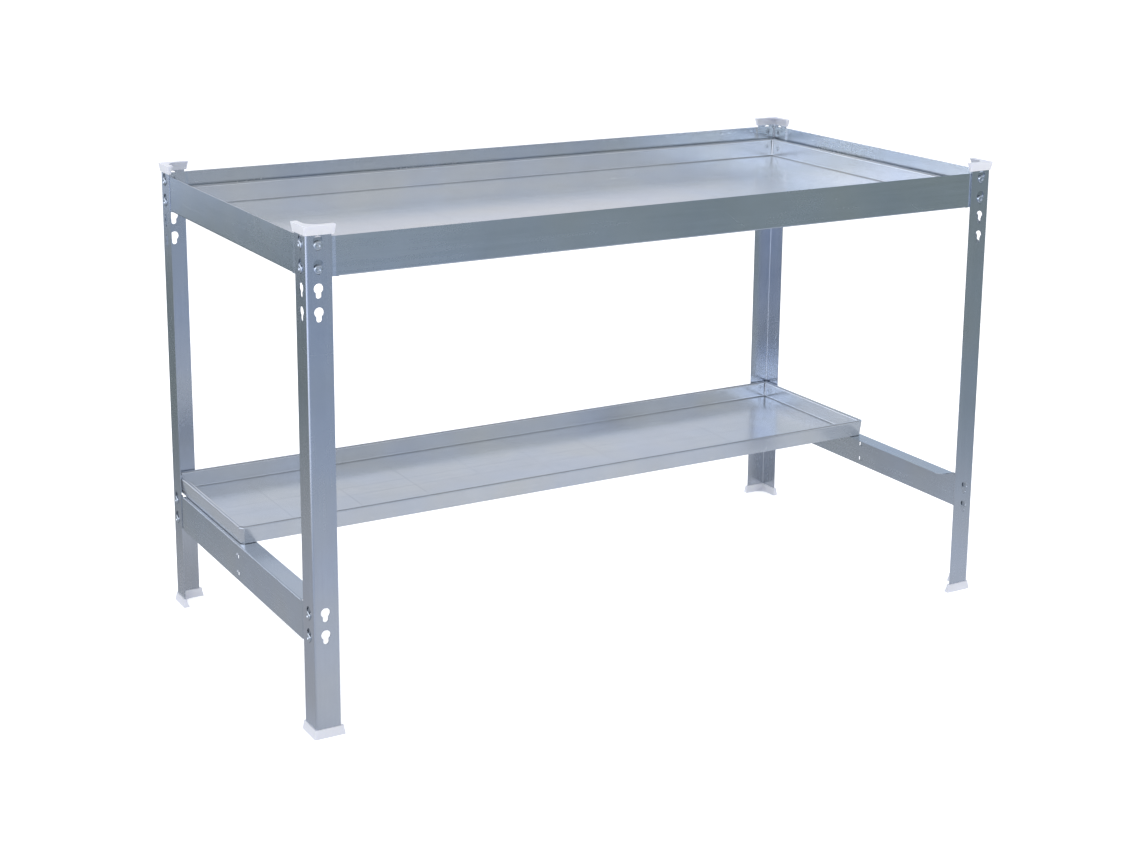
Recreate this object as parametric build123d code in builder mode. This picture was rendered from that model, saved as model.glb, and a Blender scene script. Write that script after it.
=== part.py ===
"""Free-standing potting bench made of folded, galvanised sheet steel.

Four angle posts with keyhole slots stand in flared plastic feet.  Six rails hook
into the slots with studs pressed out of their own sheet.  The four upper rails
carry a deep top tray, and the two lower end rails carry a half-depth storage tray.

Millimetres, +Z up.  The origin is on the floor under the middle of the bench, the
length runs along X and the front faces -Y.  Every piece is its own solid.
"""
import os
from math import sqrt

from build123d import *

# ---- overall size ----
bench_length = 1200.0
bench_depth = 600.0
bench_height = 740.0
half_length = bench_length / 2
half_depth = bench_depth / 2

# ---- angle posts ----
post_width = 38.0
post_sheet = 1.5
post_bend = 3.5
cap_floor = 2.5
post_fit = 0.1
post_bottom = cap_floor + post_fit
post_top = bench_height - post_bottom

# ---- keyhole slots ----
hole_inset = 18.0
hole_radius = 7.0
neck_radius = 4.1
hole_height = 21.0
hole_pitch = 33.0
upper_hole_top = 726.0
lower_hole_top = 194.5
stud_drop = 13.5
punch_depth = 9.0
hole_tops = [upper_hole_top - n * hole_pitch for n in range(4)]
hole_tops += [lower_hole_top - n * hole_pitch for n in range(2)]

# ---- rails ----
rail_sheet = 1.2
rail_flange = 30.0
rail_bend = 2.4
flange_corner = 18.0
upper_rail_bottom = 667.5
upper_rail_top = 723.5
lower_rail_bottom = 136.5
lower_rail_top = 194.5
tab_setback = post_sheet + post_fit
tab_end_inset = 5.5
tab_start_inset = post_width + 1.5
step_start_inset = post_width + 6.0
flange_end_inset = post_width + 10.0

# ---- studs pressed out of the rail tabs ----
stud_head_radius = 6.3
stud_head_rim = 1.0
stud_head_height = 2.3
stud_shoulder_radius = 5.2
stud_shoulder_share = 0.86
stud_dimple_depth = 1.5
stud_neck_width = 6.2
stud_neck_height = 10.4
stud_recess_height = 7.5
stud_recess_depth = 1.6
stud_slit_width = 1.3
stud_slit_offset = 3.75

# ---- bridges pressed out of the lower rails at mid-length ----
bridge_width = 6.4
bridge_window = 9.6
bridge_height = 7.0
bridge_slope = 2.2
bridge_rise = 1.7
bridge_heights = [148.0, 175.5]

# ---- trays ----
tray_sheet = 0.9
tray_rest_gap = 0.15
rim_width = 8.0
rim_bend = 3.1
hem_foot_width = 4.7
hem_foot_gap = 0.7
floor_bend = 2.4
floor_margin = 3.2
corner_cut = 6.8
corner_relief = 1.3
corner_slot_width = 3.2
corner_slot_depth = 2.1
corner_slot_inset = 8.74
top_tray_height = 32.0
top_tray_inset = 7.1
lower_tray_height = 28.5
lower_tray_inset = 2.0
lower_tray_front = -8.0

# ---- clinched rivets in the tray corners ----
rivet_head_radius = 3.8
rivet_head_height = 1.0
rivet_head_round = 0.6
rivet_shank_radius = 1.6
rivet_tail_length = 1.4
rivet_inset = 17.0

# ---- hat-section stiffeners under the tray floors ----
hat_width = 52.0
hat_crown = 26.0
hat_height = 11.0
hat_lip = 9.0
hat_sheet = 0.9
hat_end_inset = 38.0
top_hat_places = [-110.0, 110.0]

# ---- plastic caps on the post ends ----
cap_height = 13.2
cap_wall = 1.6
cap_flare_out = 1.9
cap_flare_in = 3.4
cap_overhang = 4.0
cap_flare_end = 2.0
cap_corner_radius = 3.0
cap_inner_radius = 2.5
cap_inner_flare = 16.0
cap_end_radius = 1.2
cap_levels = [0.0, 0.35, 0.7, 1.0]

corners = {
    "front_left": (-1, -1),
    "front_right": (1, -1),
    "back_left": (-1, 1),
    "back_right": (1, 1),
}


def side_frame(turn):
    """Frame of one side of the bench: X along the side, Y inward, for turn 0 at the front."""
    return Plane.XY.rotated((0, 0, turn))


def section_plane(turn, along=0.0):
    """Plane across a side, its X pointing inward and its Y up."""
    side = side_frame(turn)
    return Plane(origin=side.x_dir * along, x_dir=side.y_dir, z_dir=side.x_dir)


def face_plane(turn, distance):
    """Upright plane facing outward on one side, at a distance from the middle."""
    side = side_frame(turn)
    return Plane(origin=side.y_dir * -distance, x_dir=side.x_dir, z_dir=side.y_dir * -1)


def plan_plane(turn, height):
    """Level plane with its X along one side of the bench."""
    return Plane(origin=(0, 0, height), x_dir=side_frame(turn).x_dir, z_dir=(0, 0, 1))


def at_corner(points, side_x, side_y):
    """Turn points measured inward from a post's outer corner into bench coordinates."""
    return [(side_x * (half_length - x), side_y * (half_depth - y)) for x, y in points]


def angle_outline(outer, inner, overhang):
    """Six corners of an angle section, grown outward, inward and past its legs' ends."""
    leg = post_width + overhang
    inside = post_sheet + inner
    return [(-outer, -outer), (leg, -outer), (leg, inside), (inside, inside), (inside, leg), (-outer, leg)]


def keyholes(across, tops):
    """Add keyhole outlines to the open sketch: a round hole with a narrow neck below it."""
    neck_centre = hole_height - neck_radius
    for top in tops:
        with Locations((across, top - hole_radius)):
            Circle(hole_radius)
        with Locations((across, top - neck_centre)):
            Circle(neck_radius)
        with Locations((across, top - (hole_radius + neck_centre) / 2)):
            Rectangle(2 * neck_radius, neck_centre - hole_radius)


def make_post(name, side_x, side_y):
    """Angle post with a column of keyholes in both of its flanges."""
    with BuildPart() as post:
        with BuildSketch(Plane.XY.offset(post_bottom)):
            with BuildLine():
                Polyline(at_corner(angle_outline(0, 0, 0), side_x, side_y), close=True)
            make_face()
        extrude(amount=post_top - post_bottom)
        middle = bench_height / 2
        for depth, radius in ((0, post_bend), (post_sheet, post_bend - post_sheet)):
            x, y = at_corner([(depth, depth)], side_x, side_y)[0]
            upright = post.edges().filter_by(Axis.Z).sort_by_distance((x, y, middle))[0]
            fillet(upright, radius)
        with BuildSketch(Plane.XZ.offset(-side_y * half_depth)):
            keyholes(side_x * (half_length - hole_inset), hole_tops)
        extrude(amount=punch_depth, both=True, mode=Mode.SUBTRACT)
        with BuildSketch(Plane.YZ.offset(side_x * half_length)):
            keyholes(side_y * (half_depth - hole_inset), hole_tops)
        extrude(amount=punch_depth, both=True, mode=Mode.SUBTRACT)
    post.part.label = name
    export_step(post.part, f"parts/{name}.step")


def make_cap(name, side_x, side_y, on_top):
    """Plastic cap: snug on the post, its outside flaring evenly and its inside curling out to the sole."""
    direction = -1 if on_top else 1
    sole = bench_height if on_top else 0.0
    with BuildPart() as cap:
        for level in cap_levels:
            spread = 1 - level
            curl = spread**2
            outer = cap_wall + cap_flare_out * spread
            inner = cap_wall + cap_flare_in * curl
            outline = angle_outline(outer, inner, cap_overhang + cap_flare_end * spread)
            inside = cap_inner_radius + cap_inner_flare * curl
            end = cap_end_radius
            radii = [cap_corner_radius, end, end, inside, end, end]
            with BuildSketch(Plane.XY.offset(sole + direction * level * cap_height)):
                with BuildLine():
                    FilletPolyline(at_corner(outline, side_x, side_y), radius=radii, close=True)
                make_face()
        loft()
        with BuildSketch(Plane.XY.offset(sole + direction * cap_floor)):
            with BuildLine():
                seat = angle_outline(post_fit, post_fit, post_fit)
                snug = post_bend + post_fit
                FilletPolyline(
                    at_corner(seat, side_x, side_y),
                    radius=[snug, 0, 0, snug - post_sheet - 2 * post_fit, 0, 0],
                    close=True,
                )
            make_face()
        extrude(amount=direction * cap_height, mode=Mode.SUBTRACT)
    cap.part.label = name
    export_step(cap.part, f"parts/{name}.step")


# One pressed stud, built at the origin with its axis along +Z and the tab's outer face
# at Z = 0: a dimpled head on a narrow neck, which passes through a keyhole.
with BuildPart() as stud:
    with BuildSketch(Plane.XZ):
        with BuildLine():
            head_back = (0, tab_setback + post_fit)
            rim_back = (stud_head_radius, tab_setback + post_fit)
            rim_front = (stud_head_radius, tab_setback + stud_head_rim)
            dimple = (0, tab_setback + stud_head_height - stud_dimple_depth)
            crown_edge = (stud_neck_width / 2, tab_setback + stud_head_height)
            shoulder = (stud_shoulder_radius, tab_setback + stud_shoulder_share * stud_head_height)
            Polyline(head_back, rim_back, rim_front)
            ThreePointArc(rim_front, shoulder, crown_edge)
            Polyline(crown_edge, dimple, head_back)
        make_face()
    revolve(axis=Axis.Z)
    with BuildSketch(Plane.XY.offset(-rail_sheet)):
        Circle(stud_head_radius)
        Rectangle(stud_neck_width, stud_neck_height, mode=Mode.INTERSECT)
    extrude(amount=rail_sheet + tab_setback + 2 * post_fit)

# What a stud leaves behind it in the tab: a shallow recess between two upright slits.
with BuildPart() as stud_back:
    with BuildSketch(Plane.XY.offset(-rail_sheet)):
        with Locations((-stud_slit_offset, 0), (stud_slit_offset, 0)):
            Rectangle(stud_slit_width, stud_recess_height)
    extrude(amount=rail_sheet)
    with BuildSketch(Plane.XY.offset(-rail_sheet)):
        Rectangle(stud_neck_width, stud_recess_height)
    extrude(amount=stud_recess_depth)


def make_rail(name, turn, length, outer, bottom, top, flange_on_top):
    """Folded rail with one inward flange, set-back end tabs and two studs on each tab."""
    half = length / 2
    fold = top if flange_on_top else bottom
    free_edge = bottom if flange_on_top else top
    sheet_up = -rail_sheet if flange_on_top else rail_sheet
    flange_half = half - flange_end_inset
    hole_top = upper_hole_top if bottom > bench_height / 2 else lower_hole_top
    stud_heights = [hole_top - stud_drop, hole_top - hole_pitch - stud_drop]
    with BuildPart() as rail:
        with BuildSketch(section_plane(turn)):
            with BuildLine():
                FilletPolyline(
                    (-outer, free_edge),
                    (-outer, fold),
                    (rail_flange - outer, fold),
                    (rail_flange - outer, fold + sheet_up),
                    (rail_sheet - outer, fold + sheet_up),
                    (rail_sheet - outer, free_edge),
                    radius=[0, rail_bend, 0, 0, rail_bend - rail_sheet, 0],
                    close=True,
                )
            make_face()
        extrude(amount=flange_half, both=True)
        inward = Axis((0, 0, 0), side_frame(turn).y_dir)
        fillet(rail.edges().filter_by(Axis.Z).group_by(inward)[-1], flange_corner)
        with BuildSketch(plan_plane(turn, bottom)):
            for end in (-1, 1):
                with BuildLine():
                    Polyline(
                        (end * flange_half, -outer),
                        (end * (half - step_start_inset), -outer),
                        (end * (half - tab_start_inset), tab_setback - outer),
                        (end * (half - tab_end_inset), tab_setback - outer),
                        (end * (half - tab_end_inset), tab_setback + rail_sheet - outer),
                        (end * (half - tab_start_inset), tab_setback + rail_sheet - outer),
                        (end * (half - step_start_inset), rail_sheet - outer),
                        (end * flange_half, rail_sheet - outer),
                        close=True,
                    )
                make_face()
        extrude(amount=top - bottom)
        tab_face = face_plane(turn, outer - tab_setback)
        stud_places = [(end * (half - hole_inset), height) for end in (-1, 1) for height in stud_heights]
        with Locations(*[tab_face.location * Location((x, z, 0)) for x, z in stud_places]):
            add(stud.part)
            add(stud_back.part, mode=Mode.SUBTRACT)
        if flange_on_top:
            with BuildSketch(face_plane(turn, outer)):
                with Locations(*[(0, height) for height in bridge_heights]):
                    Rectangle(bridge_window, bridge_height)
            extrude(amount=-rail_sheet, mode=Mode.SUBTRACT)
            with BuildSketch(section_plane(turn)):
                for height in bridge_heights:
                    foot = bridge_height / 2 + bridge_slope / 2
                    crest = foot - bridge_slope
                    with BuildLine():
                        Polyline(
                            (-outer, height - foot),
                            (-outer - bridge_rise, height - crest),
                            (-outer - bridge_rise, height + crest),
                            (-outer, height + foot),
                            (rail_sheet - outer, height + foot),
                            (rail_sheet - outer - bridge_rise, height + crest),
                            (rail_sheet - outer - bridge_rise, height - crest),
                            (rail_sheet - outer, height - foot),
                            close=True,
                        )
                    make_face()
            extrude(amount=bridge_width / 2, both=True)
    rail.part.label = name
    export_step(rail.part, f"parts/{name}.step")


def cut_corners(x_half, front, back, inset):
    """Eight corners of a tray's plan at an inset from its rim, each corner cut off at 45 degrees."""
    cut = corner_cut - (2 - sqrt(2)) * inset
    right = x_half - inset
    near = front + inset
    far = back - inset
    return [
        (right - cut, near),
        (right, near + cut),
        (right, far - cut),
        (right - cut, far),
        (cut - right, far),
        (-right, far - cut),
        (-right, near + cut),
        (cut - right, near),
    ]


def corner_slots(x_half, front, back):
    """Places of the open slots where a tray's side and end walls stop short of each other."""
    x = x_half - corner_slot_inset
    near = front + corner_slot_inset
    far = back - corner_slot_inset
    places = [(x, near, 45), (x, far, -45), (-x, far, 45), (-x, near, -45)]
    return [Location((x, y, 0), (0, 0, turn)) for x, y, turn in places]


def make_tray(name, bottom, height, x_half, front, back):
    """Sheet tray: one floor, four upright walls folded over into a tapering outer hem."""
    wall_front = rim_width
    wall_back = rim_width - tray_sheet
    hem_foot = rim_width - hem_foot_width
    under_rim = height - tray_sheet
    rim_inside = rim_bend - tray_sheet
    rim_corners = cut_corners(x_half, front, back, 0)
    section = [
        (wall_front + floor_margin, 0),
        (wall_back, 0),
        (wall_back, under_rim),
        (tray_sheet, under_rim),
        (hem_foot + tray_sheet, hem_foot_gap),
        (hem_foot, hem_foot_gap),
        (0, height),
        (wall_front, height),
        (wall_front, tray_sheet),
        (wall_front + floor_margin, tray_sheet),
    ]
    radii = [0, floor_bend + tray_sheet, rim_inside, rim_inside, 0, 0, rim_bend, rim_bend, floor_bend, 0]
    with BuildPart() as tray:
        with BuildLine(Plane.XY.offset(bottom)) as rim_path:
            Polyline((0, front), *rim_corners, close=True)
        with BuildSketch(Plane(origin=(0, front, bottom), x_dir=(0, 1, 0), z_dir=(1, 0, 0))):
            with BuildLine():
                FilletPolyline(section, radius=radii, close=True)
            make_face()
        sweep(path=rim_path.wires()[0], transition=Transition.RIGHT)
        with BuildSketch(Plane.XY.offset(bottom)):
            with BuildLine():
                Polyline(cut_corners(x_half, front, back, wall_front + floor_margin), close=True)
            make_face()
        extrude(amount=tray_sheet)
        with BuildSketch(Plane.XY.offset(bottom)):
            with Locations(*rim_corners):
                Circle(corner_relief)
        extrude(amount=height, mode=Mode.SUBTRACT)
        with BuildSketch(Plane.XY.offset(bottom + tray_sheet)):
            with Locations(*corner_slots(x_half, front, back)):
                Rectangle(corner_slot_width, corner_slot_depth)
        extrude(amount=height - 2 * tray_sheet, mode=Mode.SUBTRACT)
        for end in (-1, 1):
            with BuildSketch(Plane.YZ.offset(end * (x_half - rim_width))):
                with Locations(*rivet_places(bottom, height, front, back)):
                    Circle(rivet_shank_radius)
            extrude(amount=end * tray_sheet, mode=Mode.SUBTRACT)
    tray.part.label = name
    export_step(tray.part, f"parts/{name}.step")


def rivet_places(bottom, height, front, back):
    """Where the corner rivets sit on an end wall, at half its height near both corners."""
    inset = rim_width + rivet_inset
    return [(front + inset, bottom + height / 2), (back - inset, bottom + height / 2)]


def make_rivets(name, bottom, height, x_half, front, back):
    """Clinched rivets that hold the corner tabs, one near each end of both end walls."""
    with BuildPart() as rivets:
        for end in (-1, 1):
            wall = end * (x_half - rim_width)
            places = rivet_places(bottom, height, front, back)
            with BuildSketch(Plane.YZ.offset(wall)):
                with Locations(*places):
                    Circle(rivet_shank_radius)
            extrude(amount=end * (tray_sheet + rivet_tail_length))
            with BuildSketch(Plane.YZ.offset(wall)):
                with Locations(*places):
                    Circle(rivet_head_radius)
            extrude(amount=-end * rivet_head_height)
            rim = rivets.edges().filter_by(GeomType.CIRCLE)
            rim = rim.filter_by(lambda e: abs(e.radius - rivet_head_radius) < post_fit)
            fillet(rim.filter_by_position(
                Axis.X,
                wall - end * rivet_head_height - post_fit,
                wall - end * rivet_head_height + post_fit,
            ), rivet_head_round)
    rivets.part.label = name
    export_step(rivets.part, f"parts/{name}.step")


def make_hats(name, bottom, x_half, places):
    """Hat-section stiffeners running lengthwise against the underside of a tray floor."""
    span = x_half - hat_end_inset
    with BuildPart() as hats:
        with BuildSketch(Plane.YZ):
            for place in places:
                flat = hat_width / 2
                foot = flat - hat_lip
                crown = hat_crown / 2
                deep = bottom - hat_height
                with BuildLine():
                    Polyline(
                        (place - flat, bottom),
                        (place - foot + hat_sheet, bottom),
                        (place - crown + hat_sheet, deep + hat_sheet),
                        (place + crown - hat_sheet, deep + hat_sheet),
                        (place + foot - hat_sheet, bottom),
                        (place + flat, bottom),
                        (place + flat, bottom - hat_sheet),
                        (place + foot, bottom - hat_sheet),
                        (place + crown, deep),
                        (place - crown, deep),
                        (place - foot, bottom - hat_sheet),
                        (place - flat, bottom - hat_sheet),
                        close=True,
                    )
                make_face()
        extrude(amount=span, both=True)
    hats.part.label = name
    export_step(hats.part, f"parts/{name}.step")


os.makedirs("parts", exist_ok=True)

for corner, (side_x, side_y) in corners.items():
    make_post(f"post_{corner}", side_x, side_y)
    make_cap(f"foot_cap_{corner}", side_x, side_y, on_top=False)
    make_cap(f"top_cap_{corner}", side_x, side_y, on_top=True)

make_rail("front_rail", 0, bench_length, half_depth, upper_rail_bottom, upper_rail_top, False)
make_rail("back_rail", 180, bench_length, half_depth, upper_rail_bottom, upper_rail_top, False)
make_rail("right_rail", 90, bench_depth, half_length, upper_rail_bottom, upper_rail_top, False)
make_rail("left_rail", 270, bench_depth, half_length, upper_rail_bottom, upper_rail_top, False)
make_rail("lower_right_rail", 90, bench_depth, half_length, lower_rail_bottom, lower_rail_top, True)
make_rail("lower_left_rail", 270, bench_depth, half_length, lower_rail_bottom, lower_rail_top, True)

top_tray_bottom = upper_rail_bottom + rail_sheet + tray_rest_gap
top_tray_half = half_length - top_tray_inset
top_tray_back = half_depth - top_tray_inset
top_tray_size = (top_tray_bottom, top_tray_height, top_tray_half, -top_tray_back, top_tray_back)
make_tray("top_tray", *top_tray_size)
make_rivets("top_tray_corner_rivets", *top_tray_size)
make_hats("top_tray_stiffeners", top_tray_bottom, top_tray_half, top_hat_places)

lower_tray_bottom = lower_rail_top + tray_rest_gap
lower_tray_half = half_length - lower_tray_inset
lower_tray_back = half_depth - lower_tray_inset
lower_tray_size = (lower_tray_bottom, lower_tray_height, lower_tray_half, lower_tray_front, lower_tray_back)
make_tray("lower_tray", *lower_tray_size)
make_rivets("lower_tray_corner_rivets", *lower_tray_size)
lower_hat_place = (lower_tray_front + lower_tray_back) / 2
make_hats("lower_tray_stiffener", lower_tray_bottom, lower_tray_half, [lower_hat_place])
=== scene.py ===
"""Looks for the galvanised potting bench: steel, plastic, floor, light and camera.

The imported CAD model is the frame.  Every sheet-metal and plastic piece keeps its CAD
shape and gets a procedural material here.  Metres, +Z up, the front faces -Y.
"""
import math

import bmesh
import bpy
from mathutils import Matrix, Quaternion, Vector


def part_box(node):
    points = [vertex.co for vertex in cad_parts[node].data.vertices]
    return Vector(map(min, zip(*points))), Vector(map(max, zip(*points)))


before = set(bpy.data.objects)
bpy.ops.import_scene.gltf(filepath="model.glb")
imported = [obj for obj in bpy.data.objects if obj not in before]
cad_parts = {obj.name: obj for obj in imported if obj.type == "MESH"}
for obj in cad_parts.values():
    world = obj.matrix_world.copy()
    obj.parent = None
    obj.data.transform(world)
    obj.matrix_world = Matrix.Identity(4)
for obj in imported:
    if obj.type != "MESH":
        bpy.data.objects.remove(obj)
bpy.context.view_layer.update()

scene = bpy.context.scene

# ---- camera ----
image_width_px = 1140
focal_px = 1938.0
sensor_mm = 36.0
camera_place = Vector((-1.5607, -2.6714, 1.2349))
camera_yaw = 0.5237
camera_pitch = 0.2249
camera_roll = 0.0083
camera_shift_up = -0.12
camera_reach = 200.0

# ---- floor, backdrop and soft light ----
floor_radius = 60.0
floor_sides = 96
floor_colour = (0.83, 0.83, 0.84)
floor_glow = 0.55
floor_rough = 0.9
floor_gloss = 0.1
white = (1.0, 1.0, 1.0)
backdrop_colour = white
soft_light = (0.74, 0.76, 0.80)
bounced_light = (1.5, 1.55, 1.7)

# ---- lamps: place, size, watts and colour ----
lamp_target = (0.0, 0.0, 0.4)
lamps = {
    "overhead": ((0.0, 0.6, 3.4), (4.0, 2.6), 45.0, white),
    "key": ((-3.2, -2.6, 2.4), (1.8, 2.4), 10.0, (0.93, 0.96, 1.0)),
    "fill": ((3.4, -1.8, 2.0), (1.6, 2.2), 3.0, (1.0, 0.99, 0.96)),
}

# ---- what polished metal sees of the floor, from the pool round the bench outward ----
pool_middle = (0.0, -0.45, 0.0)
pool_stretch = (0.6, 1.0, 1.0)
pool_reach = (0.1, 1.15)
pool_floor = (0.66, 0.69, 0.76)
front_left_floor = (0.38, 0.46, 0.62)
front_right_floor = (0.26, 0.31, 0.32)
left_floor = (1.25, 1.35, 1.62)
behind_floor = (0.44, 0.46, 0.51)
dark_floor = (0.20, 0.235, 0.245)
far_floor = (0.60, 0.68, 0.84)
# spans, along X or Y, in which one part of the floor passes into the next
left_to_right_x = (-0.5, 2.4)
behind_to_dark_y = (0.1, 1.5)
dark_to_far_y = (2.6, 5.2)
front_to_back_y = (-0.25, 0.3)
turn_x = (-0.45, -0.65)
turn_by = 0.35
left_floor_x = (-1.2, -2.4)
left_floor_back_y = (0.8, -0.2)
left_floor_front_y = (-3.2, -2.0)

# ---- what polished metal sees of the studio ----
front_wall = (0.74, 0.77, 0.84)
back_wall = (0.88, 0.87, 0.94)
right_wall = (0.25, 0.42, 0.62)
front_right_wall = (0.54, 0.61, 0.72)
left_wall = (2.10, 2.20, 2.50)
upper_wall = (0.66, 0.71, 0.81)
ceiling = (0.26, 0.28, 0.32)
panel_way = (-0.57, -0.78, 0.24)
panel_light = (2.6, 2.8, 3.2)
# spans of the direction's X, Y or Z, or of its closeness to the panel
front_right_x = (0.47, 0.60)
right_x = (0.51, 0.64)
left_x = (-0.45, -0.63)
ahead_to_behind_y = (-0.4, 0.5)
upper_z = (0.18, 0.34)
ceiling_z = (0.4, 0.8)
panel_edge = (0.960, 0.990)

# ---- steel ----
post_tone = (0.58, 0.61, 0.66)
rail_tone = (0.57, 0.61, 0.65)
tray_tone = (0.63, 0.655, 0.685)
tray_metal = 0.78
tray_rough = 0.19
rivet_rough = 0.3
stiffener_tone = (0.52, 0.54, 0.57)
stiffener_rough = 0.38
cool_shift = (0.975, 0.995, 1.03)
warm_shift = (1.025, 1.01, 0.97)
middle_noise = (0.3, 0.7)
crystal_scale = 270.0
small_crystal_scale = 760.0
jitter_scale = 260.0
crystal_jitter = 0.0022
spangle = 0.007
streak = 0.02
cloud = 0.035
fine_share = 0.6
grain_stretch = 30.0
hair_shine = 0.10
hair_rough = 0.08
wave = 0.12

# ---- painted shade on the rails' end tabs, and marks on the steel ----
mark_pitch = 0.12
mark_width = 0.0020
mark_shade = 0.12
mark_floor_z = (0.0015, 0.0025)
# painted shade: colour factor for the rails' end tabs where the posts' flanges shade them
painted_tab_shade = 0.8
tab_start = 0.0385
tab_front = 0.0009
tab_back = 0.0022
stiffener_edge = {"top_tray": 0.110, "lower_tray": 0.019}

# ---- plastic ----
cap_clean = (0.74, 0.75, 0.80)
cap_shaded = (0.68, 0.69, 0.75)
cap_rough = (0.34, 0.48)
cap_translucence = 0.25
cap_scatter = (0.004, 0.004, 0.005)


def socket(value):
    """Whether a value is another node's output rather than a plain number or colour."""
    return isinstance(value, bpy.types.NodeSocket)


def feed(tree, target, value):
    """Link an output into an input, or set the input's own value."""
    if socket(value):
        tree.links.new(value, target)
    else:
        target.default_value = value


def coordinates(tree, stretch=(1, 1, 1)):
    """Object coordinates in metres, stretched so that a pattern can run along one way."""
    source = tree.nodes.new("ShaderNodeTexCoord")
    mapping = tree.nodes.new("ShaderNodeMapping")
    mapping.inputs["Scale"].default_value = stretch
    tree.links.new(source.outputs["Object"], mapping.inputs["Vector"])
    return mapping.outputs["Vector"]


def axes(tree, vector):
    """The three coordinates of a vector."""
    parts = tree.nodes.new("ShaderNodeSeparateXYZ")
    tree.links.new(vector, parts.inputs["Vector"])
    return {axis: parts.outputs[axis] for axis in "XYZ"}


def noise(tree, vector, scale, detail=3.0, rough=0.5, distortion=0.0):
    """Smooth random value, about 0.5 on average."""
    node = tree.nodes.new("ShaderNodeTexNoise")
    tree.links.new(vector, node.inputs["Vector"])
    node.inputs["Scale"].default_value = scale
    node.inputs["Detail"].default_value = detail
    node.inputs["Roughness"].default_value = rough
    node.inputs["Distortion"].default_value = distortion
    return node.outputs["Fac"]


def cells(tree, vector, scale, output="Color", feature="F1"):
    """Voronoi cells: a random colour for each cell, or the distance to its edge."""
    node = tree.nodes.new("ShaderNodeTexVoronoi")
    node.feature = feature
    tree.links.new(vector, node.inputs["Vector"])
    node.inputs["Scale"].default_value = scale
    return node.outputs[output]


def remap(tree, value, span, to_low, to_high, smooth=False):
    """Map a value from a span to another range and clamp it there."""
    node = tree.nodes.new("ShaderNodeMapRange")
    if smooth:
        node.interpolation_type = "SMOOTHSTEP"
    feed(tree, node.inputs["Value"], value)
    node.inputs["From Min"].default_value, node.inputs["From Max"].default_value = span
    node.inputs["To Min"].default_value = to_low
    node.inputs["To Max"].default_value = to_high
    return node.outputs["Result"]


def ramp(tree, value, span):
    """0 to 1, eased at both ends, while a value crosses a span."""
    return remap(tree, value, span, 0.0, 1.0, True)


def maths(tree, operation, first, second=0.0):
    """One arithmetic step on two values."""
    node = tree.nodes.new("ShaderNodeMath")
    node.operation = operation
    feed(tree, node.inputs[0], first)
    feed(tree, node.inputs[1], second)
    return node.outputs["Value"]


def add(tree, first, *others):
    """Sum of several values."""
    for other in others:
        first = maths(tree, "ADD", first, other)
    return first


def mix(tree, factor, first, second, blend="MIX"):
    """Blend two colours by a factor."""
    node = tree.nodes.new("ShaderNodeMix")
    node.data_type = "RGBA"
    node.blend_type = blend
    feed(tree, node.inputs["Factor"], factor)
    for name, value in (("A", first), ("B", second)):
        target = next(i for i in node.inputs if i.name == name and i.type == "RGBA")
        feed(tree, target, value if socket(value) else (*value, 1.0))
    return next(o for o in node.outputs if o.type == "RGBA")


def bump(tree, height, strength, distance, normal=None):
    """Raise the surface by a height map, on top of an earlier bump if there is one."""
    node = tree.nodes.new("ShaderNodeBump")
    node.inputs["Strength"].default_value = strength
    node.inputs["Distance"].default_value = distance
    tree.links.new(height, node.inputs["Height"])
    if normal is not None:
        tree.links.new(normal, node.inputs["Normal"])
    return node.outputs["Normal"]


def new_material(name):
    """Empty node material with one Principled shader; returns the material, tree and shader."""
    material = bpy.data.materials.new(name)
    material.use_nodes = True
    tree = material.node_tree
    return material, tree, tree.nodes["Principled BSDF"]


def roll_marks(tree, plain, tray):
    """Faint lines on a tray's floor: across it at a fixed pitch, and over its stiffeners' edges."""
    low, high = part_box(tray)
    at = axes(tree, plain)
    line = (0.0, mark_width)
    middle = (low[1] + high[1]) / 2
    across = maths(tree, "PINGPONG", at["X"], mark_pitch / 2)
    crossing = remap(tree, across, line, 1.0, 0.0, True)
    from_middle = maths(tree, "ABSOLUTE", maths(tree, "SUBTRACT", at["Y"], middle))
    from_edge = maths(tree, "ABSOLUTE", maths(tree, "SUBTRACT", from_middle, stiffener_edge[tray]))
    lengthwise = remap(tree, from_edge, line, 1.0, 0.0, True)
    broken = remap(tree, noise(tree, plain, 6.0), (0.35, 0.6), 0.25, 1.0)
    floor_span = tuple(low[2] + z for z in mark_floor_z)
    on_floor = remap(tree, at["Z"], floor_span, 1.0, 0.0)
    marks = maths(tree, "MULTIPLY", maths(tree, "MAXIMUM", crossing, lengthwise), broken)
    return maths(tree, "MULTIPLY", marks, on_floor)


def scratches(tree, plain):
    """Sparse curved hairlines: thin contours of a slow noise, shown only in patches."""
    slow = noise(tree, plain, 4.0, detail=1.0)
    drift = maths(tree, "ABSOLUTE", maths(tree, "SUBTRACT", slow, 0.5))
    hair = remap(tree, drift, (0.0004, 0.0014), 1.0, 0.0, True)
    shown = remap(tree, noise(tree, plain, 9.0, detail=2.0), (0.56, 0.66), 0.0, 1.0)
    return maths(tree, "MULTIPLY", hair, shown)


def tab_shade_mask(tree, plain, along):
    """Mask for painted shade: 1 on the outer face of the rails' end tabs, where the posts' flanges shade
    them; along is the rails' axis.
    """
    half_size = dict(zip("XY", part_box("post_back_right")[1]))
    across = "Y" if along == "X" else "X"
    at = axes(tree, plain)
    out = maths(tree, "ABSOLUTE", at[along])
    past = maths(tree, "GREATER_THAN", out, half_size[along] - tab_start)
    depth = maths(tree, "ABSOLUTE", at[across])
    outer = maths(tree, "GREATER_THAN", depth, half_size[across] - tab_back)
    outer = maths(tree, "MULTIPLY", outer, maths(tree, "LESS_THAN", depth, half_size[across] - tab_front))
    return maths(tree, "MULTIPLY", past, outer)


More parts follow.
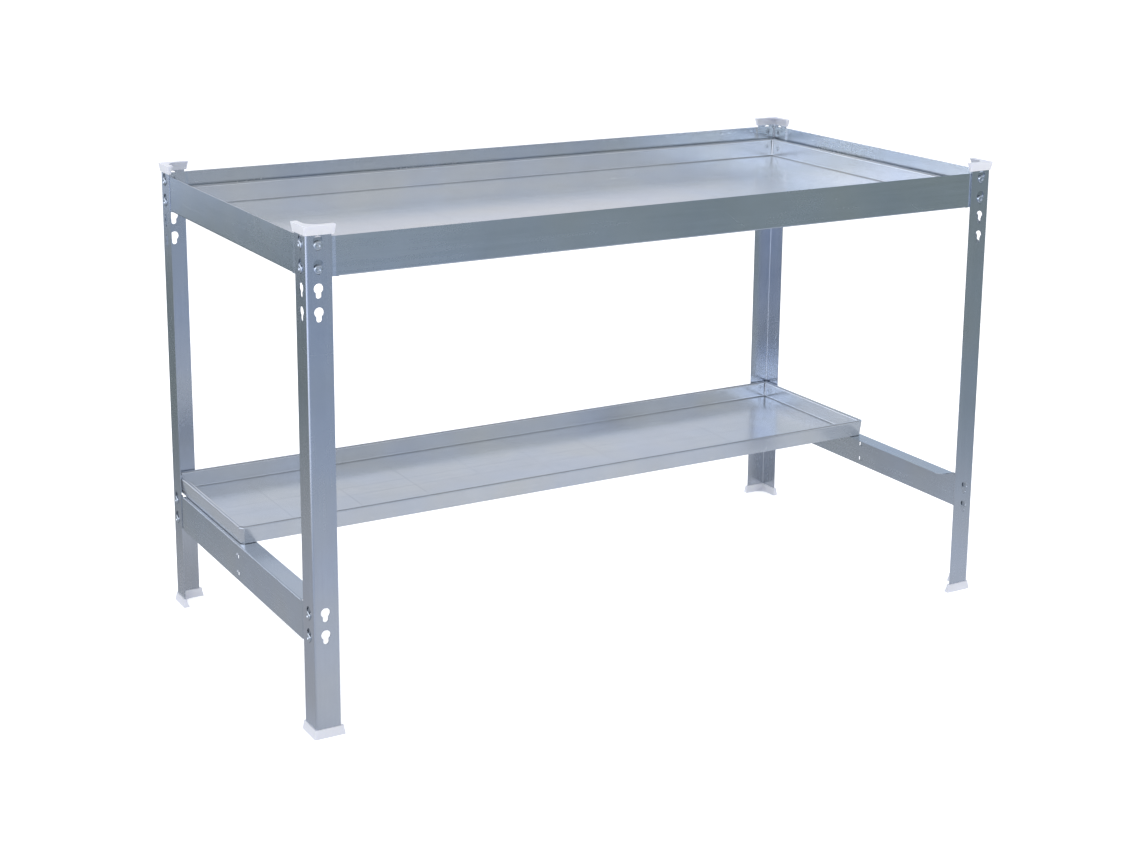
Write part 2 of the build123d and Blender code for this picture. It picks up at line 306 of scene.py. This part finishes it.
def crystal_space(tree, plain):
    """Coordinates shaken a little, so that crystal edges are ragged."""
    warped = tree.nodes.new("ShaderNodeVectorMath")
    warped.operation = "MULTIPLY_ADD"
    jitter = tree.nodes.new("ShaderNodeTexNoise")
    jitter.inputs["Scale"].default_value = jitter_scale
    tree.links.new(plain, jitter.inputs["Vector"])
    tree.links.new(jitter.outputs["Color"], warped.inputs[0])
    warped.inputs[1].default_value = (crystal_jitter, crystal_jitter, crystal_jitter)
    tree.links.new(plain, warped.inputs[2])
    return warped.outputs["Vector"]


def galvanised(name, tone, grain, rough=0.25, metal=1.0, tray=None, paint_tab_shade=False):
    """Hot-dip sheet: fine zinc spangle, roll lines along the grain, soft clouds, hairlines and waves, with
    painted shade on the rails' end tabs where asked.
    """
    material, tree, shader = new_material(name)
    plain = coordinates(tree)
    along = coordinates(tree, stretch=[1.0 if axis == grain else grain_stretch for axis in "XYZ"])
    crystals = crystal_space(tree, plain)
    fine_spangle = spangle * fine_share
    fine_streak = streak * fine_share
    fine_cloud = cloud * fine_share

    large = remap(tree, cells(tree, crystals, crystal_scale), (0.0, 1.0), -spangle, spangle)
    small = cells(tree, crystals, small_crystal_scale)
    small = remap(tree, small, (0.0, 1.0), -fine_spangle, fine_spangle)
    lines = noise(tree, along, 5.0, detail=4.0, rough=0.6)
    fine_lines = noise(tree, along, 28.0, detail=3.0, rough=0.6)
    slow = noise(tree, plain, 3.5, detail=3.0, rough=0.5, distortion=0.5)
    blotch = noise(tree, plain, 22.0, detail=4.0, rough=0.55)
    hair = scratches(tree, plain)

    level = add(
        tree,
        large,
        small,
        remap(tree, lines, middle_noise, -streak, streak),
        remap(tree, fine_lines, middle_noise, -fine_streak, fine_streak),
        remap(tree, slow, middle_noise, 1.0 - cloud, 1.0 + cloud),
        remap(tree, blotch, middle_noise, -fine_cloud, fine_cloud),
        maths(tree, "MULTIPLY", hair, hair_shine),
    )
    if tray:
        marks = roll_marks(tree, plain, tray)
        level = maths(tree, "SUBTRACT", level, maths(tree, "MULTIPLY", marks, mark_shade))
    # painted shade: the rails' end tabs behind the posts' flanges are darkened in colour
    if paint_tab_shade:
        shade = remap(tree, tab_shade_mask(tree, plain, grain), (0.0, 1.0), 1.0, painted_tab_shade)
        level = maths(tree, "MULTIPLY", level, shade)
    cool = tuple(t * s for t, s in zip(tone, cool_shift))
    warm = tuple(t * s for t, s in zip(tone, warm_shift))
    warmth = remap(tree, noise(tree, plain, 7.0, detail=2.0), (0.35, 0.65), 0.0, 1.0)
    grey = tree.nodes.new("ShaderNodeCombineColor")
    for channel in ("Red", "Green", "Blue"):
        tree.links.new(level, grey.inputs[channel])
    colour = mix(tree, 1.0, mix(tree, warmth, cool, warm), grey.outputs["Color"], blend="MULTIPLY")
    tree.links.new(colour, shader.inputs["Base Color"])

    shader.inputs["Metallic"].default_value = metal
    roughness = add(
        tree,
        remap(tree, slow, middle_noise, rough - 0.02, rough + 0.03),
        large,
        remap(tree, lines, middle_noise, -0.02, 0.02),
        maths(tree, "MULTIPLY", hair, hair_rough),
    )
    tree.links.new(roughness, shader.inputs["Roughness"])

    normal = bump(tree, noise(tree, plain, 3.2, detail=1.0, rough=0.4), wave, 0.004)
    normal = bump(tree, blotch, 0.05, 0.0006, normal)
    normal = bump(tree, fine_lines, 0.08, 0.00006, normal)
    rim = cells(tree, crystals, crystal_scale, "Distance", "DISTANCE_TO_EDGE")
    normal = bump(tree, remap(tree, rim, (0.0, 0.12), 0.0, 1.0), 0.03, 0.00003, normal)
    tree.links.new(normal, shader.inputs["Normal"])
    return material


def cap_plastic(name):
    """Moulded white polythene: faintly translucent, with soft mottling and a fine skin."""
    material, tree, shader = new_material(name)
    plain = coordinates(tree)
    mottle = noise(tree, plain, 60.0, detail=3.0)
    grime = noise(tree, plain, 14.0, detail=4.0, rough=0.6)
    colour = mix(tree, remap(tree, grime, (0.35, 0.75), 0.0, 1.0), cap_clean, cap_shaded)
    tree.links.new(colour, shader.inputs["Base Color"])
    tree.links.new(remap(tree, mottle, middle_noise, *cap_rough), shader.inputs["Roughness"])
    shader.inputs["Subsurface Weight"].default_value = cap_translucence
    shader.inputs["Subsurface Radius"].default_value = cap_scatter
    shader.inputs["Subsurface Scale"].default_value = 1.0
    skin = noise(tree, plain, 900.0, detail=2.0)
    tree.links.new(bump(tree, skin, 0.08, 0.0002), shader.inputs["Normal"])
    return material


def dress(material, *nodes):
    """Give CAD nodes a material in every one of their material slots."""
    for node in nodes:
        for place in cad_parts[node].material_slots:
            place.material = material


def first_reflection(tree, path):
    """1 on a ray that metal reflects to the eye, 0 on light that metal throws on to plastic or the floor."""
    scattered = remap(tree, path.outputs["Diffuse Depth"], (0.0, 1.0), 1.0, 0.0)
    return maths(tree, "MULTIPLY", path.outputs["Is Glossy Ray"], scattered)


def reflected_floor(tree):
    """Colour of the floor as metal sees it: a bright pool, cool to the left, darker behind the bench."""
    at = axes(tree, coordinates(tree))
    x, y = at["X"], at["Y"]
    reach = tree.nodes.new("ShaderNodeVectorMath")
    reach.operation = "DISTANCE"
    tree.links.new(coordinates(tree, stretch=pool_stretch), reach.inputs[0])
    reach.inputs[1].default_value = pool_middle
    pool = remap(tree, reach.outputs["Value"], pool_reach, 1.0, 0.0, True)
    front = mix(tree, ramp(tree, x, left_to_right_x), front_left_floor, front_right_floor)
    front = mix(tree, pool, front, pool_floor)
    back = mix(tree, ramp(tree, y, behind_to_dark_y), behind_floor, dark_floor)
    back = mix(tree, ramp(tree, y, dark_to_far_y), back, far_floor)
    turned = add(tree, y, remap(tree, x, turn_x, 0.0, turn_by, True))
    ground = mix(tree, ramp(tree, turned, front_to_back_y), front, back)
    aside = ramp(tree, x, left_floor_x)
    for span in (left_floor_back_y, left_floor_front_y):
        aside = maths(tree, "MULTIPLY", aside, ramp(tree, y, span))
    return mix(tree, aside, ground, left_floor)


def make_floor():
    """Wide pale floor that the bench stands on, which metal sees in other tones."""
    mesh = bpy.data.meshes.new("floor")
    shape = bmesh.new()
    bmesh.ops.create_circle(shape, cap_ends=True, segments=floor_sides, radius=floor_radius)
    shape.to_mesh(mesh)
    shape.free()
    floor = bpy.data.objects.new("floor", mesh)
    scene.collection.objects.link(floor)
    material, tree, shader = new_material("pale_floor")
    shader.inputs["Base Color"].default_value = (*floor_colour, 1.0)
    shader.inputs["Roughness"].default_value = floor_rough
    shader.inputs["Specular IOR Level"].default_value = floor_gloss
    shader.inputs["Emission Color"].default_value = (*white, 1.0)
    shader.inputs["Emission Strength"].default_value = floor_glow

    glow = tree.nodes.new("ShaderNodeEmission")
    tree.links.new(reflected_floor(tree), glow.inputs["Color"])
    path = tree.nodes.new("ShaderNodeLightPath")
    choice = tree.nodes.new("ShaderNodeMixShader")
    tree.links.new(first_reflection(tree, path), choice.inputs[0])
    tree.links.new(shader.outputs["BSDF"], choice.inputs[1])
    tree.links.new(glow.outputs["Emission"], choice.inputs[2])
    tree.links.new(choice.outputs["Shader"], tree.nodes["Material Output"].inputs["Surface"])
    mesh.materials.append(material)


def reflected_studio(tree, way):
    """Colour of the studio as metal sees it: walls by direction, a bright panel and a dark ceiling."""
    at = axes(tree, way)
    x, y, z = at["X"], at["Y"], at["Z"]
    ahead = mix(tree, ramp(tree, x, front_right_x), front_wall, front_right_wall)
    behind = mix(tree, ramp(tree, x, right_x), back_wall, right_wall)
    around = mix(tree, ramp(tree, y, ahead_to_behind_y), ahead, behind)
    around = mix(tree, ramp(tree, x, left_x), around, left_wall)
    aim = tree.nodes.new("ShaderNodeVectorMath")
    aim.operation = "DOT_PRODUCT"
    tree.links.new(way, aim.inputs[0])
    aim.inputs[1].default_value = Vector(panel_way).normalized()
    higher = mix(tree, ramp(tree, z, upper_z), around, upper_wall)
    higher = mix(tree, ramp(tree, aim.outputs["Value"], panel_edge), higher, panel_light)
    return mix(tree, ramp(tree, z, ceiling_z), higher, ceiling)


def make_surroundings():
    """White backdrop to the eye, even soft light, and a studio of lighter and darker sides for the metal."""
    world = bpy.data.worlds.new("studio")
    world.use_nodes = True
    scene.world = world
    tree = world.node_tree
    sky = tree.nodes["Background"]
    source = tree.nodes.new("ShaderNodeTexCoord")
    studio = reflected_studio(tree, source.outputs["Generated"])
    path = tree.nodes.new("ShaderNodeLightPath")
    lit = mix(tree, path.outputs["Is Glossy Ray"], soft_light, bounced_light)
    lit = mix(tree, first_reflection(tree, path), lit, studio)
    seen = mix(tree, path.outputs["Is Camera Ray"], lit, backdrop_colour)
    tree.links.new(seen, sky.inputs["Color"])
    sky.inputs["Strength"].default_value = 1.0


def make_lights():
    """Overhead bank with a cool key from the left and a soft fill from the right, not seen in the metal."""
    for name, (place, size, watts, colour) in lamps.items():
        data = bpy.data.lights.new(name, "AREA")
        data.shape = "RECTANGLE"
        data.size, data.size_y = size
        data.energy = watts
        data.color = colour
        lamp = bpy.data.objects.new(name, data)
        lamp.location = place
        aim = Vector(lamp_target) - Vector(place)
        lamp.rotation_mode = "QUATERNION"
        lamp.rotation_quaternion = aim.to_track_quat("-Z", "Y")
        lamp.visible_glossy = False
        scene.collection.objects.link(lamp)


def make_camera():
    """Camera off the left front corner, a little above the bench, as a product view."""
    data = bpy.data.cameras.new("camera")
    data.sensor_width = sensor_mm
    data.lens = sensor_mm * focal_px / image_width_px
    data.shift_y = camera_shift_up
    data.clip_end = camera_reach
    camera = bpy.data.objects.new("camera", data)
    forward = Vector((
        math.sin(camera_yaw) * math.cos(camera_pitch),
        math.cos(camera_yaw) * math.cos(camera_pitch),
        -math.sin(camera_pitch),
    ))
    camera.location = camera_place
    camera.rotation_mode = "QUATERNION"
    camera.rotation_quaternion = forward.to_track_quat("-Z", "Y") @ Quaternion((0, 0, 1), camera_roll)
    scene.collection.objects.link(camera)
    scene.camera = camera


make_camera()
make_surroundings()
make_floor()
make_lights()
scene.view_settings.view_transform = "Standard"

corners = ("front_left", "front_right", "back_left", "back_right")
dress(galvanised("post_steel", post_tone, "Z"), *[f"post_{corner}" for corner in corners])
# the rails get painted shade on their end tabs behind the posts
dress(galvanised("long_rail_steel", rail_tone, "X", paint_tab_shade=True), "front_rail", "back_rail")
dress(
    galvanised("end_rail_steel", rail_tone, "Y", paint_tab_shade=True),
    "left_rail",
    "right_rail",
    "lower_left_rail",
    "lower_right_rail",
)
for tray in ("top_tray", "lower_tray"):
    sheet = galvanised(f"{tray}_steel", tray_tone, "X", rough=tray_rough, metal=tray_metal, tray=tray)
    dress(sheet, tray)
    dress(galvanised(f"{tray}_rivet_steel", tray_tone, "Z", rough=rivet_rough), f"{tray}_corner_rivets")
stiffener_steel = galvanised("stiffener_steel", stiffener_tone, "X", rough=stiffener_rough)
dress(stiffener_steel, "top_tray_stiffeners", "lower_tray_stiffener")
plastic = cap_plastic("cap_plastic")
dress(plastic, *[f"{end}_cap_{corner}" for end in ("foot", "top") for corner in corners])
